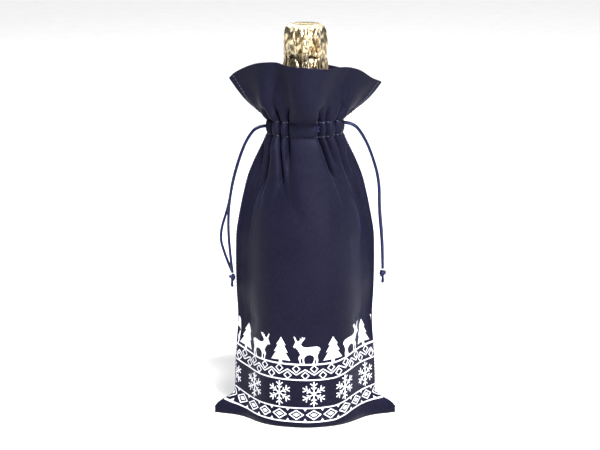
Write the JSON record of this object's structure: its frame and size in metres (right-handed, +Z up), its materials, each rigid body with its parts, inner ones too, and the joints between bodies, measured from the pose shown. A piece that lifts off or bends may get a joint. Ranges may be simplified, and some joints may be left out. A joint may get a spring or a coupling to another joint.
{
  "type": "wine gift bag",
  "caption": "Limp satin drawstring bottle bag with a printed winter band and a gathered ruffle, standing on the foil-topped wine bottle inside it.",
  "frame": {"origin": "on the floor, under the middle of the bag", "axes": "+Z up along the bottle, -Y the printed front, +X the right-hand side seam as seen from the front"},
  "size_m": [0.146, 0.098, 0.3158],
  "materials": {
    "satin_cloth": "navy satin, soft sheen",
    "satin_facing": "navy satin, folded inside the ruffle",
    "thread": "navy sewing thread",
    "cord_satin": "navy satin cord",
    "ink": "white screen print",
    "bottle_glass": "dark green glass",
    "wine_fill": "pale wine",
    "cork_wood": "pressed cork",
    "cap_metal": "printed tinplate",
    "cage_wire": "galvanised wire",
    "gold_foil": "crumpled gold foil"
  },
  "bodies": {
    "bag": {"front_panel": "satin_cloth", "back_panel": "satin_cloth", "front_facing": "satin_facing", "back_facing": "satin_facing", "left_side_seam_thread": "thread", "right_side_seam_thread": "thread", "bottom_seam_thread": "thread", "lower_channel_stitches": "thread", "upper_channel_stitches": "thread", "front_print": "ink", "back_print": "ink", "left_drawstring_channel_run": "cord_satin", "right_drawstring_channel_run": "cord_satin"},
    "left_drawstring": {"left_front_strand": "cord_satin", "left_back_strand": "cord_satin", "left_knot": "cord_satin", "left_cord_ends": "cord_satin"},
    "right_drawstring": {"right_front_strand": "cord_satin", "right_back_strand": "cord_satin", "right_knot": "cord_satin", "right_cord_ends": "cord_satin"},
    "bottle": {"glass_bottle": "bottle_glass", "wine": "wine_fill", "cork": "cork_wood", "cork_cap": "cap_metal", "wire_cage": "cage_wire", "foil_hood": "gold_foil"}
  },
  "joints": [
    {"name": "bottle_lift", "type": "slide", "parent": "bag", "child": "bottle", "axis": [0, 0, 1], "range_m": [0, 0.02]},
    {"name": "left_drawstring_swing", "type": "hinge", "parent": "bag", "child": "left_drawstring", "pos_m": [-0.029, 0, 0.2341], "axis": [1, 0, 0], "range_deg": [-75, 75]},
    {"name": "right_drawstring_swing", "type": "hinge", "parent": "bag", "child": "right_drawstring", "pos_m": [0.029, 0, 0.2367], "axis": [1, 0, 0], "range_deg": [-75, 75]}
  ]
}
